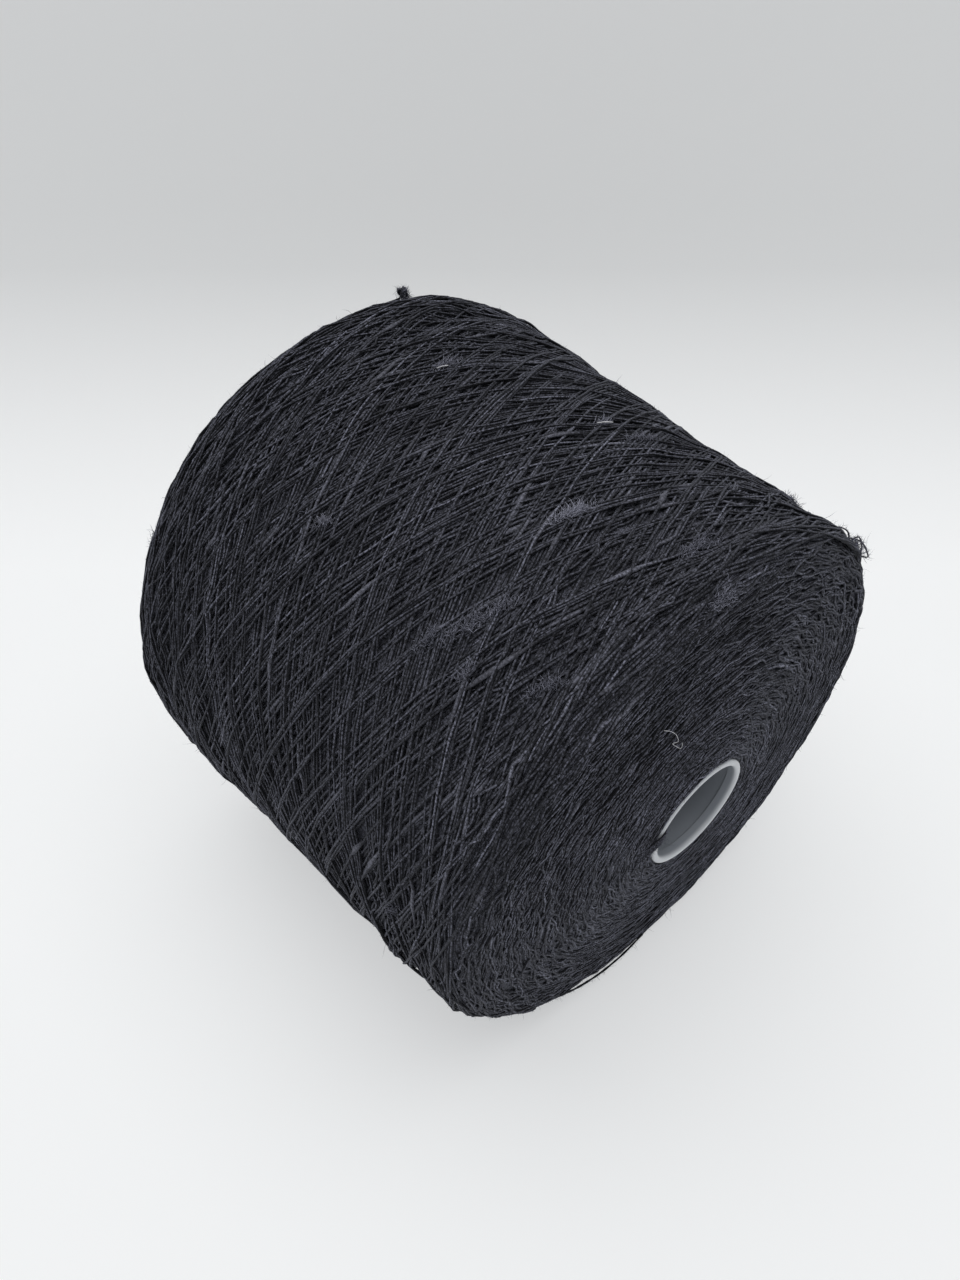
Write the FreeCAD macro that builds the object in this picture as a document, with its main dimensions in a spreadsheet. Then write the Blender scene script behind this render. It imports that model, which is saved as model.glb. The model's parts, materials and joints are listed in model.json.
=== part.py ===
import FreeCAD, Part

import math
import os

import Sketcher

# A cone of slub yarn that lies on its side: the moulded cone tube, the cross-wound yarn package
# and the transfer tail, each a body of its own.
#
# Every body is drawn about its own X axis, which is the tube's axis. X = 0 is the tube's base end
# and the nose is at the far end. The placement then lays the cone on the floor (Z = 0) with the nose
# towards +X. The package tapers, so the axis dips towards the nose by the package's half angle. The
# origin is the middle of the whole object's footprint box.

SIZES = {
    # cone tube
    "tube_length": 170.0,
    "taper_angle": 4.3333,  # half angle of the tube's outside, in degrees: 4 degrees 20 minutes
    "tube_wall": 1.8,
    "nose_bore": 32.0,  # diameter of the land inside the lip, which centres on a spindle
    "lip_wall": 2.2,
    "lip_length": 3.2,
    "lip_round": 1.0,
    "base_ring_wall": 2.6,
    "base_ring_length": 8.0,
    "notch_width": 1.6,  # slit at the base end that grips the start of the yarn
    "notch_length": 6.0,
    # yarn package
    "package_length": 150.0,
    "nose_projection": 4.5,  # tube beyond the outer edge of the package's nose face
    "nose_dome": 4.0,  # how far the nose face rises from its outer part to the tube
    "dome_margin": 2.0,  # flat ring between the round outer edge and the dome
    "package_nose_diameter": 165.0,
    "package_base_diameter": 183.15,
    "nose_edge_round": 7.6,
    "base_edge_round": 15.5,
    "rest_depth": 0.8,  # how far the soft underside is pressed flat
    # transfer tail
    "tail_width": 5.0,
    "tail_depth": 0.9,
    "tail_offset": 7.5,  # from the tube's base end to the first reserve turn
}

PLACE_TOLERANCE = 0.01
TRIM_MARGIN = 20.0  # how far the trimming outlines run past what they trim


def make_sheet(doc):
    """Spreadsheet with one row for each driving size: its name, its value and its alias."""
    sheet = doc.addObject("Spreadsheet::Sheet", "Sizes")
    for row, (alias, value) in enumerate(SIZES.items(), start=1):
        sheet.set(f"A{row}", alias.replace("_", " "))
        sheet.set(f"B{row}", str(value))
        sheet.setAlias(f"B{row}", alias)
    doc.recompute()
    return sheet


# Formulas, as the text that the features are bound to.

BORE_RADIUS = "(Sizes.nose_bore / 2)"
NOSE_FACE = "(Sizes.tube_length - Sizes.nose_projection)"
NOSE_HUB = f"({NOSE_FACE} + Sizes.nose_dome)"
BASE_FACE = f"({NOSE_FACE} - Sizes.package_length)"
LIP_END = "(Sizes.tube_length - Sizes.lip_length)"
TAIL_END = "(Sizes.tail_offset + Sizes.tail_width)"
PACKAGE_SLOPE = (
    "((Sizes.package_base_diameter - Sizes.package_nose_diameter) / 2 / Sizes.package_length)"
)


def tube_radius(along):
    """Outer radius of the tube at a place along its axis."""
    rise = f"(Sizes.tube_length - {along}) * tan(Sizes.taper_angle)"
    return f"({BORE_RADIUS} + Sizes.lip_wall + {rise})"


def floor_level(along):
    """How far the pressed underside lies below the axis, at a place along it."""
    radius = f"Sizes.package_nose_diameter / 2 + ({NOSE_FACE} - {along}) * {PACKAGE_SLOPE}"
    return f"({radius} - Sizes.rest_depth / cos(atan({PACKAGE_SLOPE})))"


# Ways of drawing and cutting that several bodies share.


def origin_feature(body, role):
    """The body's own origin plane or axis with this role."""
    return next(part for part in body.Origin.OriginFeatures if part.Role == role)


def draw_outline(body, name, plane, corners):
    """Closed outline on an origin plane, each corner tied to its own pair of formulas.

    A corner is its name, its distance along the sketch's first axis, its distance along the
    second axis and, where it lies on that axis's negative side, the word "below".
    """
    sketch = body.newObject("Sketcher::SketchObject", name)
    sketch.AttachmentSupport = [(origin_feature(body, plane), "")]
    sketch.MapMode = "FlatFace"
    points = []
    for corner in corners:
        height = sketch.evalExpression(corner[2])
        side = -1.0 if "below" in corner[3:] else 1.0
        points.append(FreeCAD.Vector(sketch.evalExpression(corner[1]), side * height, 0))
    count = len(points)
    for index in range(count):
        sketch.addGeometry(Part.LineSegment(points[index], points[(index + 1) % count]), False)
    for index in range(count):
        sketch.addConstraint(Sketcher.Constraint("Coincident", index, 2, (index + 1) % count, 1))
    for index, corner in enumerate(corners):
        start = (-1, 1, index, 1)
        rise = (index, 1, -1, 1) if "below" in corner[3:] else start
        along = Sketcher.Constraint("DistanceX", *start, points[index].x)
        height = Sketcher.Constraint("DistanceY", *rise, abs(points[index].y))
        for word, constraint, formula in (("along", along, corner[1]), ("out", height, corner[2])):
            number = sketch.addConstraint(constraint)
            sketch.renameConstraint(number, f"{corner[0]}_{word}")
            sketch.setExpression(f"Constraints.{corner[0]}_{word}", formula)
    return sketch


def turn(body, sketch):
    """Full turn of an outline about the body's X axis."""
    turned = body.newObject("PartDesign::Revolution", f"{body.Name}_turned")
    turned.Profile = sketch
    turned.ReferenceAxis = (origin_feature(body, "X_Axis"), [""])
    turned.Angle = 360.0
    body.Document.recompute()
    return turned


def rim(feature, along, radius):
    """Name of the feature's circular edge at a place on the axis, with this radius."""
    place = feature.evalExpression(along)
    size = feature.evalExpression(radius)
    for number, edge in enumerate(feature.Shape.Edges, start=1):
        circle = edge.Curve
        if not isinstance(circle, Part.Circle):
            continue
        off_place = abs(circle.Center.x - place)
        off_size = abs(circle.Radius - size)
        if max(off_place, off_size) < PLACE_TOLERANCE:
            return f"Edge{number}"
    raise ValueError(f"{feature.Label} has no rim of radius {size} at {place}")


def round_rims(body, name, feature, rims, radius):
    """Fillet of the named radius on circular edges, each a pair of formulas: place and radius."""
    fillet = body.newObject("PartDesign::Fillet", name)
    fillet.Base = (feature, [rim(feature, along, size) for along, size in rims])
    fillet.setExpression("Radius", radius)
    body.Document.recompute()
    return fillet


def cut(body, name, sketch, both_sides):
    """Pocket through everything, to both sides of the sketch or only along its normal."""
    before = body.Shape.Volume
    pocket = body.newObject("PartDesign::Pocket", name)
    pocket.Profile = sketch
    pocket.Type = "ThroughAll"
    pocket.SideType = "Symmetric" if both_sides else "One side"
    pocket.Reversed = not both_sides
    body.Document.recompute()
    if pocket.Shape.Volume >= before:
        raise ValueError(f"{name} cuts nothing")
    return pocket


# The three bodies.


def make_cone_tube(doc):
    """Moulded tube with a thickened round lip at the nose, a ring inside the base and a slit."""
    body = doc.addObject("PartDesign::Body", "cone_tube")
    ring_radius = tube_radius("Sizes.base_ring_length")
    corners = [
        ("base_outer", "0", tube_radius("0")),
        ("nose_outer", "Sizes.tube_length", tube_radius("Sizes.tube_length")),
        ("nose_inner", "Sizes.tube_length", BORE_RADIUS),
        ("land_end", LIP_END, BORE_RADIUS),
        ("wall_nose", LIP_END, f"{tube_radius(LIP_END)} - Sizes.tube_wall"),
        ("wall_base", "Sizes.base_ring_length", f"{ring_radius} - Sizes.tube_wall"),
        ("ring_nose", "Sizes.base_ring_length", f"{ring_radius} - Sizes.base_ring_wall"),
        ("base_inner", "0", f"{tube_radius('0')} - Sizes.base_ring_wall"),
    ]
    wall = turn(body, draw_outline(body, "tube_outline", "XZ_Plane", corners))
    lip_rims = [
        ("Sizes.tube_length", tube_radius("Sizes.tube_length")),
        ("Sizes.tube_length", BORE_RADIUS),
    ]
    round_rims(body, "lip_rounds", wall, lip_rims, "min(Sizes.lip_round; 0.45 * Sizes.lip_wall)")
    half_width = "Sizes.notch_width / 2"
    slit = [
        ("end_left", "0", half_width, "below"),
        ("root_left", "Sizes.notch_length", half_width, "below"),
        ("root_right", "Sizes.notch_length", half_width),
        ("end_right", "0", half_width),
    ]
    cut(body, "notch", draw_outline(body, "notch_outline", "XY_Plane", slit), both_sides=False)
    return body


def make_yarn_package(doc):
    """Wound yarn: a thick cone on the tube, round at both edges, pressed flat underneath."""
    body = doc.addObject("PartDesign::Body", "yarn_package")
    base_radius = "Sizes.package_base_diameter / 2"
    nose_radius = "Sizes.package_nose_diameter / 2"
    dome_radius = f"({nose_radius} - Sizes.nose_edge_round - Sizes.dome_margin)"
    corners = [
        ("base_inner", BASE_FACE, tube_radius(BASE_FACE)),
        ("base_outer", BASE_FACE, base_radius),
        ("nose_outer", NOSE_FACE, nose_radius),
        ("dome_foot", NOSE_FACE, dome_radius),
        ("nose_inner", NOSE_HUB, tube_radius(NOSE_HUB)),
    ]
    wound = turn(body, draw_outline(body, "package_outline", "XZ_Plane", corners))
    rounded = round_rims(
        body, "nose_edge", wound, [(NOSE_FACE, nose_radius)], "Sizes.nose_edge_round"
    )
    round_rims(body, "base_edge", rounded, [(BASE_FACE, base_radius)], "Sizes.base_edge_round")
    past_nose = f"Sizes.tube_length + {TRIM_MARGIN}"
    under = f"{base_radius} + {TRIM_MARGIN}"
    slab = [
        ("base_top", "0", floor_level("0"), "below"),
        ("base_bottom", "0", under, "below"),
        ("nose_bottom", past_nose, under, "below"),
        ("nose_top", past_nose, floor_level(f"({past_nose})"), "below"),
    ]
    floor = draw_outline(body, "floor_outline", "XZ_Plane", slab)
    cut(body, "pressed_underside", floor, both_sides=True)
    return body


def make_transfer_tail(doc):
    """Reserve turns of yarn, a band round the bare base end of the tube."""
    body = doc.addObject("PartDesign::Body", "transfer_tail")
    start_radius = tube_radius("Sizes.tail_offset")
    corners = [
        ("start_inner", "Sizes.tail_offset", start_radius),
        ("start_outer", "Sizes.tail_offset", f"{start_radius} + Sizes.tail_depth"),
        ("end_outer", TAIL_END, f"{tube_radius(TAIL_END)} + Sizes.tail_depth"),
        ("end_inner", TAIL_END, tube_radius(TAIL_END)),
    ]
    turn(body, draw_outline(body, "tail_outline", "XZ_Plane", corners))
    return body


def lay_down(sheet, bodies):
    """Lays the cone on the floor with its nose towards +X, its footprint centred on the origin."""
    slope = sheet.evalExpression(PACKAGE_SLOPE)
    dip = FreeCAD.Rotation(FreeCAD.Vector(0, 1, 0), math.degrees(math.atan(slope)))
    floor_corner = FreeCAD.Vector(0, 0, -sheet.evalExpression(floor_level("0")))
    lift = -dip.multVec(floor_corner).z
    for body in bodies:
        body.Placement = FreeCAD.Placement(FreeCAD.Vector(0, 0, lift), dip)
    boxes = [body.Shape.optimalBoundingBox(False, False) for body in bodies]
    middle_x = (min(box.XMin for box in boxes) + max(box.XMax for box in boxes)) / 2
    for body in bodies:
        body.Placement = FreeCAD.Placement(FreeCAD.Vector(-middle_x, 0, lift), dip)


def check(doc, bodies):
    """Raises if any feature failed to build or any body's shape isn't one valid solid."""
    for item in doc.Objects:
        if {"Invalid", "Error"} & set(item.State):
            raise ValueError(f"{item.Label} failed to build: {item.State}")
    for body in bodies:
        shape = body.Shape
        if shape.isNull() or not shape.isValid() or len(shape.Solids) != 1:
            raise ValueError(f"{body.Label} isn't one valid solid")


def main():
    doc = FreeCAD.newDocument("YarnCone")
    sheet = make_sheet(doc)
    bodies = [make_cone_tube(doc), make_yarn_package(doc), make_transfer_tail(doc)]
    doc.recompute()
    lay_down(sheet, bodies)
    doc.recompute()
    check(doc, bodies)
    os.makedirs("parts", exist_ok=True)
    for body in bodies:
        body.Shape.exportStep(os.path.join("parts", f"{body.Label}.step"))


main()
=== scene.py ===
import json
import math

import bpy
import numpy as np
from mathutils import Matrix, Vector


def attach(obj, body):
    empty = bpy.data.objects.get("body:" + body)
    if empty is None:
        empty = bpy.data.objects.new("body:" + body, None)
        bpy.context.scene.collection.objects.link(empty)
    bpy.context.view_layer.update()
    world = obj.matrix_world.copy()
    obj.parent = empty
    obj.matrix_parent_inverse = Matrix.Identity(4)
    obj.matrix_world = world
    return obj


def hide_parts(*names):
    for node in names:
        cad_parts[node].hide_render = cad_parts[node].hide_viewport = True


bl_info = {
    "name": "Yarn Cone",
    "version": (1, 0, 0),
    "blender": (4, 5, 0),
    "location": "View3D > Sidebar > Yarn Cone",
    "description": "Winds slub yarn on a moulded cone tube, strand by strand, around its CAD model",
    "category": "Object",
}

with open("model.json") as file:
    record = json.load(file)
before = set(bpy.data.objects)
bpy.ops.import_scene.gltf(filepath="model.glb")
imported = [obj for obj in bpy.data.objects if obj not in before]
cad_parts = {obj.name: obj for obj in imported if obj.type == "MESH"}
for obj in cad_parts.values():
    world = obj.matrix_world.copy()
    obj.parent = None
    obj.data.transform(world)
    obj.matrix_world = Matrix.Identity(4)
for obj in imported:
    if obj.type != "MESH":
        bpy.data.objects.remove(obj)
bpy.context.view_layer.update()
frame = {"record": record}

# The cone's own axes, in millimetres: along the tube from its base end to its nose, and the
# radius about it. An angle about the tube is measured from the top, towards +Y.

MM = 0.001
TUBE_LENGTH = 170.0
TAPER = math.tan(math.radians(4.3333))
NOSE_BORE_RADIUS = 16.0
LIP_WALL = 2.2
LIP_LENGTH = 3.2
LIP_ROUND = 0.99
TUBE_WALL = 1.8
BASE_RING_WALL = 2.6
BASE_RING_LENGTH = 8.0
SLIT_WIDTH = 1.6
SLIT_LENGTH = 6.0
PACKAGE_LENGTH = 150.0
NOSE_FACE = TUBE_LENGTH - 4.5
BASE_FACE = NOSE_FACE - PACKAGE_LENGTH
NOSE_RADIUS = 82.5
BASE_RADIUS = 91.575
NOSE_ROUND = 7.6
BASE_ROUND = 15.5
NOSE_DOME = 4.0
DOME_FOOT_RADIUS = NOSE_RADIUS - NOSE_ROUND - 2.0
DOME_FOOT_ROUND = 6.0
SPINDLE_LAND_MIDDLE = TUBE_LENGTH - (LIP_LENGTH + LIP_ROUND) / 2
MEAN_RADIUS = (NOSE_RADIUS + BASE_RADIUS) / 2
CONE_SLOPE = (BASE_RADIUS - NOSE_RADIUS) / PACKAGE_LENGTH


def cone_to_frame():
    """Matrix that takes a point in the cone's own axes, in metres, to the frame."""
    land = next(m for m in frame["record"]["mounts"] if m["name"] == "spindle_land")
    nose_way = -Vector(land["axis"]).normalized()
    up = Vector((0, 1, 0)).cross(nose_way) * -1
    origin = Vector(land["pos_m"]) - nose_way * (SPINDLE_LAND_MIDDLE * MM)
    turn = Matrix((nose_way, Vector((0, 1, 0)), up)).transposed().to_4x4()
    return Matrix.Translation(origin) @ turn


CONE = cone_to_frame()
FRAME_TURN = np.array(CONE.to_3x3())
FRAME_SHIFT = np.array(CONE.translation)


def tube_radius(along):
    """Outer radius of the tube."""
    return NOSE_BORE_RADIUS + LIP_WALL + (TUBE_LENGTH - along) * TAPER


# Settings that a user would change.


class YarnSettings(bpy.types.PropertyGroup):
    """The yarn's size, unevenness and colour."""

    half_width: bpy.props.FloatProperty(
        name="Half width", description="Half the strand's width on the package, in mm", default=0.34
    )
    half_height: bpy.props.FloatProperty(
        name="Half height", description="Half the strand's height on the package, in mm",
        default=0.30,
    )
    slub_spacing: bpy.props.FloatProperty(
        name="Slub spacing", description="Mean length of yarn between slubs, in mm", default=430.0
    )
    loops: bpy.props.IntProperty(
        name="Loops", description="Closed crossing loops in the outer layers", default=132
    )
    filling: bpy.props.IntProperty(
        name="Filling", description="Closed crossing loops in the layer under them", default=72
    )
    edge_arcs: bpy.props.IntProperty(
        name="Edge arcs", description="Turning arcs among the loops near the edges", default=620
    )
    wind_curve: bpy.props.FloatProperty(
        name="Wind curve", description="Length over which the yarn turns back, in mm", default=16.0
    )
    face_cover: bpy.props.FloatProperty(
        name="Face cover", description="Layers of turning arcs on each face", default=3.2
    )
    hairs: bpy.props.IntProperty(
        name="Hairs", description="Longer fibres; there are four short ones to each", default=10500
    )
    seed: bpy.props.IntProperty(name="Seed", description="Seed of every random draw", default=11)
    colour: bpy.props.FloatVectorProperty(
        name="Yarn colour", description="Charcoal ground colour", subtype="COLOR", size=4,
        default=(0.0255, 0.0262, 0.0335, 1.0),
    )
    slub_colour: bpy.props.FloatVectorProperty(
        name="Slub colour", description="Blue-violet colour of the slubs", subtype="COLOR", size=4,
        default=(0.34, 0.345, 0.42, 1.0),
    )


class TubeSettings(bpy.types.PropertyGroup):
    """The moulded tube's colour and the highlight painted on its lip."""

    sides: bpy.props.IntProperty(name="Sides", description="Facets round the tube", default=160)
    colour: bpy.props.FloatVectorProperty(
        name="Tube colour", description="Grey plastic", subtype="COLOR", size=4,
        default=(0.28, 0.30, 0.33, 1.0),
    )
    # Painted highlight: a paler colour on the lip's rounded end, standing for the overhead light
    # glinting on it.
    lip_highlight_colour: bpy.props.FloatVectorProperty(
        name="Lip colour", description="Paler plastic where light gets into the lip",
        subtype="COLOR", size=4, default=(0.62, 0.64, 0.67, 1.0),
    )


class StageSettings(bpy.types.PropertyGroup):
    """Floor, light and camera."""

    lens: bpy.props.FloatProperty(
        name="Lens", description="Focal length, in mm", default=27.03, unit="CAMERA"
    )
    floor_colour: bpy.props.FloatVectorProperty(
        name="Floor colour", description="Pale floor", subtype="COLOR", size=4,
        default=(0.50, 0.505, 0.505, 1.0),
    )
    glow: bpy.props.FloatProperty(
        name="Glow", description="Light of the floor itself, which thins the shadows", default=0.46
    )
    sky: bpy.props.FloatProperty(name="Sky", description="Strength of the soft fill", default=0.27)
    softbox: bpy.props.FloatProperty(
        name="Softbox", description="Power of the overhead light, in watts", default=13.5,
        unit="POWER",
    )


# The surface that the yarn is wound to.


def rounded_outline(corners, step):
    """Points every step along a line through the corners, each (along, radius, fillet)."""
    points = [np.array(corners[0][:2], float)]
    for before, corner, after in zip(corners, corners[1:], corners[2:]):
        middle = np.array(corner[:2], float)
        back = np.array(before[:2]) - middle
        onward = np.array(after[:2]) - middle
        back /= np.linalg.norm(back)
        onward /= np.linalg.norm(onward)
        half = math.acos(np.clip(back @ onward, -1, 1)) / 2
        bisector = (back + onward) / np.linalg.norm(back + onward)
        centre = middle + bisector * corner[2] / math.sin(half)
        start = middle + back * corner[2] / math.tan(half) - centre
        end = middle + onward * corner[2] / math.tan(half) - centre
        first = math.atan2(start[1], start[0])
        sweep = (math.atan2(end[1], end[0]) - first + math.pi) % (2 * math.pi) - math.pi
        for share in np.linspace(0, 1, 25):
            angle = first + sweep * share
            points.append(centre + corner[2] * np.array((math.cos(angle), math.sin(angle))))
    points.append(np.array(corners[-1][:2], float))
    points = np.array(points)
    length = np.r_[0, np.cumsum(np.linalg.norm(np.diff(points, axis=0), axis=1))]
    places = np.arange(0, length[-1], step)
    return np.c_[np.interp(places, length, points[:, 0]), np.interp(places, length, points[:, 1])]


class Skin:
    """The package's outer surface as a line that is turned about the tube.

    A place on it is its distance along the line, from the tube at the base face, over the base
    edge, the cone and the nose edge, to the tube at the nose face.
    """

    STEP = 0.25

    def __init__(self):
        corners = [
            (BASE_FACE, tube_radius(BASE_FACE), 0),
            (BASE_FACE, BASE_RADIUS, BASE_ROUND),
            (NOSE_FACE, NOSE_RADIUS, NOSE_ROUND),
            (NOSE_FACE, DOME_FOOT_RADIUS, DOME_FOOT_ROUND),
            (NOSE_FACE + NOSE_DOME, tube_radius(NOSE_FACE + NOSE_DOME), 0),
        ]
        self.points = rounded_outline(corners, self.STEP)
        self.ways = np.gradient(self.points, axis=0)
        self.ways /= np.linalg.norm(self.ways, axis=1)[:, None]
        self.outs = np.c_[-self.ways[:, 1], self.ways[:, 0]]
        self.length = (len(self.points) - 1) * self.STEP
        cone = np.abs(self.ways[:, 1] + math.sin(math.atan(CONE_SLOPE))) < 0.002
        self.cone_start = np.argmax(cone) * self.STEP
        self.cone_end = (len(cone) - 1 - np.argmax(cone[::-1])) * self.STEP

    def read(self, table, place):
        """Both columns of a table at fractional places along the line."""
        marks = np.arange(len(table)) * self.STEP
        return np.c_[np.interp(place, marks, table[:, 0]), np.interp(place, marks, table[:, 1])]

    def spots(self, place, angle, height):
        """Points of the cone's own axes, in mm, and the surface's outward normals there."""
        ground = self.read(self.points, place)
        out = self.read(self.outs, place)
        out /= np.linalg.norm(out, axis=1)[:, None]
        flat = ground + out * height[:, None]
        sine, cosine = np.sin(angle), np.cos(angle)
        spots = np.c_[flat[:, 0], flat[:, 1] * sine, flat[:, 1] * cosine]
        return spots, np.c_[out[:, 0], out[:, 1] * sine, out[:, 1] * cosine]


# Level under the outer layers at places along the skin, in mm from the skin: lowest at the two
# edges, where the yarn turns back and piles up.

GROUND = (
    (0.0, -0.45), (10.0, -0.60), (40.0, -0.80), (56.0, -0.90), (64.0, -2.40), (71.0, -4.70),
    (77.0, -3.90), (90.0, -2.15), (180.0, -2.10), (192.0, -3.90), (200.0, -1.90), (208.0, -0.90),
    (240.0, -0.70), (256.0, -0.60), (266.0, -0.40),
)

# Lumps and hollows under the outer layers: place and angle of the middle, the rise, and the
# reach along the skin in mm and round it in degrees.

LUMPS = (
    (199.0, 46.0, 0.8, 5.5, 6.0),
    (128.0, 38.0, 0.9, 5.0, 3.0),
    (63.0, 12.0, 0.8, 9.0, 5.0),
    (56.0, 325.0, 0.9, 14.0, 30.0),
    (270.0, 140.0, -1.9, 5.5, 62.0),
    (266.0, 310.0, 0.35, 6.0, 60.0),
)


def ground_level(place):
    """Level under the outer layers at a place along the skin."""
    return np.interp(place, [spot for spot, _ in GROUND], [level for _, level in GROUND])


def lump_rise(place, angle):
    """How much the lumps and hollows lift the yarn at a place and an angle in degrees."""
    total = 0.0
    for lump_place, lump_angle, rise, long, wide in LUMPS:
        apart = (angle - lump_angle + 180.0) % 360.0 - 180.0
        total = total + rise * np.exp(-(((place - lump_place) / long) ** 2 + (apart / wide) ** 2))
    return total


class Pile:
    """How high the yarn is piled over the skin, on a grid of places and angles."""

    TURNS = 2200

    def __init__(self, skin):
        self.skin = skin
        self.rows = len(skin.points)
        place = np.arange(self.rows)[:, None] * skin.STEP
        angle = (np.arange(self.TURNS)[None, :] + 0.5) * 360.0 / self.TURNS
        self.height = ground_level(place) + lump_rise(place, angle)

    def cells(self, place, angle):
        row = np.clip(np.rint(place / self.skin.STEP).astype(int), 0, self.rows - 1)
        column = np.floor(angle / (2 * math.pi) * self.TURNS).astype(int) % self.TURNS
        return row, column

    def under(self, place, angle):
        """The pile's height under a strand, part way from its mean to its highest point."""
        across = [self.height[self.cells(place + shift, angle)] for shift in (-0.3, 0.0, 0.3)]
        return 0.5 * np.max(across, axis=0) + 0.5 * np.mean(across, axis=0)

    def press(self, place, angle, top, half_width):
        """Adds a strand's rounded top to the pile."""
        for shift in (-0.5, -0.25, 0.0, 0.25, 0.5):
            fall = 0.45 * (shift / half_width) ** 2 * half_width
            row, column = self.cells(place + shift, angle)
            keep = np.abs(shift) <= half_width
            np.maximum.at(self.height, (row[keep], column[keep]), (top - fall)[keep])


def smooth(values, reach, closed):
    """Running average with a bell-shaped weight, over a strand's points."""
    steps = np.arange(-3 * reach, 3 * reach + 1)
    weights = np.exp(-0.5 * (steps / reach) ** 2)
    weights /= weights.sum()
    padded = np.pad(values, 3 * reach, mode="wrap" if closed else "edge")
    return np.convolve(padded, weights, mode="valid")


def wander(rng, length, waves):
    """Sum of slow waves along a strand: each wave is its amplitude and its wavelength."""
    total = np.zeros_like(length)
    for size, wavelength in waves:
        stretch = wavelength * rng.uniform(0.75, 1.3)
        total += size * np.sin(2 * math.pi * (length / stretch + rng.uniform()))
    return total


class Strand:
    """One laid stretch of yarn: places, angles, heights and thickness, every millimetre."""

    def __init__(self, place, angle, dive, closed=False):
        self.place, self.angle, self.dive, self.closed = place, angle, dive, closed
        self.run = np.arange(len(place), dtype=float)
        self.height = None
        self.shade = 1.0

    def thicken(self, rng, yarn, spacing):
        """Gives the strand its shade, its unevenness and its slubs."""
        count = len(self.run)
        self.tone = self.shade * rng.lognormal(-0.62, 0.36)
        uneven = 1 + wander(rng, self.run, ((0.08, 6.0), (0.09, 17.0), (0.05, 41.0)))
        slub = np.zeros(count)
        for _ in range(rng.poisson(count / spacing)):
            middle = rng.uniform(0, count)
            reach = rng.uniform(2.5, 9.0)
            swell = rng.uniform(0.4, 1.0) * (1 + wander(rng, self.run, ((0.25, 3.5),)))
            shape = np.clip(1 - np.abs(self.run - middle) / reach, 0, 1)
            slub = np.maximum(slub, swell * shape ** 0.6)
        self.slub = 0.32 * slub
        self.half_width = yarn.half_width * uneven * (1 + 1.1 * slub)
        self.half_height = yarn.half_height * uneven * (1 + 0.4 * slub)

    def lay(self, pile):
        """Rests the strand on the pile and adds it."""
        under = pile.under(self.place, self.angle)
        self.height = smooth(under, 2, self.closed) + self.half_height * 0.72 - self.dive
        fine = np.arange(0, len(self.run) - 0.99, 0.25)
        values = (self.place, self.angle, self.height + self.half_height, self.half_width)
        pile.press(*(np.interp(fine, self.run, value) for value in values))

    def seen(self, pile):
        """Which points show at the top of the finished pile, with a margin either side."""
        top = self.height + self.half_height
        middle = top > pile.height[pile.cells(self.place, self.angle)] - 0.10
        for shift in (-0.3, 0.3):
            edge = pile.height[pile.cells(self.place + shift, self.angle)]
            middle |= top - 0.12 > edge - 0.05
        margin = 2
        return np.convolve(middle, np.ones(2 * margin + 1), mode="same") > 0


DEEPEST = 1.9
ON_BASE_FACE = 55.0
ON_NOSE_FACE = 208.0


def turning_arc(rng, skin, place, angle, yarn):
    """The stretch where a pass turns back: it lies round the package, and its ends dive."""
    radius = skin.read(skin.points, np.array([place]))[0, 1]
    reversal = rng.uniform(0.9, 3.2) * yarn.wind_curve
    steep = math.tan(math.radians(rng.uniform(17, 23)))
    reach = math.sqrt((DEEPEST / steep + reversal) ** 2 - reversal ** 2)
    reach = min(reach, 0.8 * math.pi * radius)
    run = np.arange(-reach, reach, 1.0)
    fall = steep * (np.sqrt(run ** 2 + reversal ** 2) - reversal)
    back = 1.0 if place < skin.length / 2 else -1.0
    way = skin.read(skin.ways, np.array([place]))[0]
    out = skin.read(skin.outs, np.array([place]))[0]
    generatrix = np.array((back, -back * CONE_SLOPE))
    rough = rng.uniform(0.6, 1.9)
    sway = rough * wander(rng, run, ((0.13, 4.8), (0.28, 8.5), (0.55, 19.0)))
    on_face = place < ON_BASE_FACE or place > ON_NOSE_FACE
    sway += run * rng.normal(0, 0.13 if on_face else 0.05)
    places = place + fall * float(generatrix @ way) + sway
    inside = np.clip(places, 0.5, skin.length - 0.5)
    arc = Strand(inside, angle + run / radius, fall * -float(generatrix @ out))
    # Painted light: turning arcs on both faces are made 1.3 times paler, standing for the light
    # that falls on the nose face.
    arc.shade = 1.30 if on_face else 1.0
    return arc


PASSES = 4
LOOP_TURNS = 3


def crossing_loop(rng, skin, start, yarn):
    """A closed loop of four passes that winds three times round the package."""
    half = LOOP_TURNS * 2 * math.pi * MEAN_RADIUS / (2 * PASSES)
    total = 2 * PASSES * half
    peaks = []
    for index in range(PASSES):
        if index % 2 == 0:
            peaks.append(skin.cone_start + rng.uniform(-9.0, 6.0))
        else:
            peaks.append(skin.cone_end - rng.uniform(-4.5, 8.0))
    reversal = yarn.wind_curve * rng.uniform(0.8, 4.0)
    rise = math.sqrt(half ** 2 + reversal ** 2) - reversal
    run = np.arange(0, total, 1.0)
    leg = np.minimum((run / (2 * half)).astype(int), PASSES - 1)
    into = run - leg * 2 * half
    low = np.array(peaks)[leg]
    high = np.array(peaks)[(leg + 1) % PASSES]
    steep = (high - low) / (2 * rise)
    first = low + steep * (np.sqrt(into ** 2 + reversal ** 2) - reversal)
    rest = high - steep * (np.sqrt((2 * half - into) ** 2 + reversal ** 2) - reversal)
    place = np.where(into < half, first, rest)
    count = len(run)
    sway = np.zeros(count)
    for size, waves in ((0.9, 3), (0.7, 7), (0.4, 19), (0.16, 61), (0.10, 140)):
        phase = 2 * math.pi * (waves * run / total + rng.uniform())
        sway += size * rng.uniform(0.5, 1.2) * np.sin(phase)
    angle = start + run / total * LOOP_TURNS * 2 * math.pi
    return Strand(place + sway, angle, np.zeros(count), closed=True)


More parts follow.
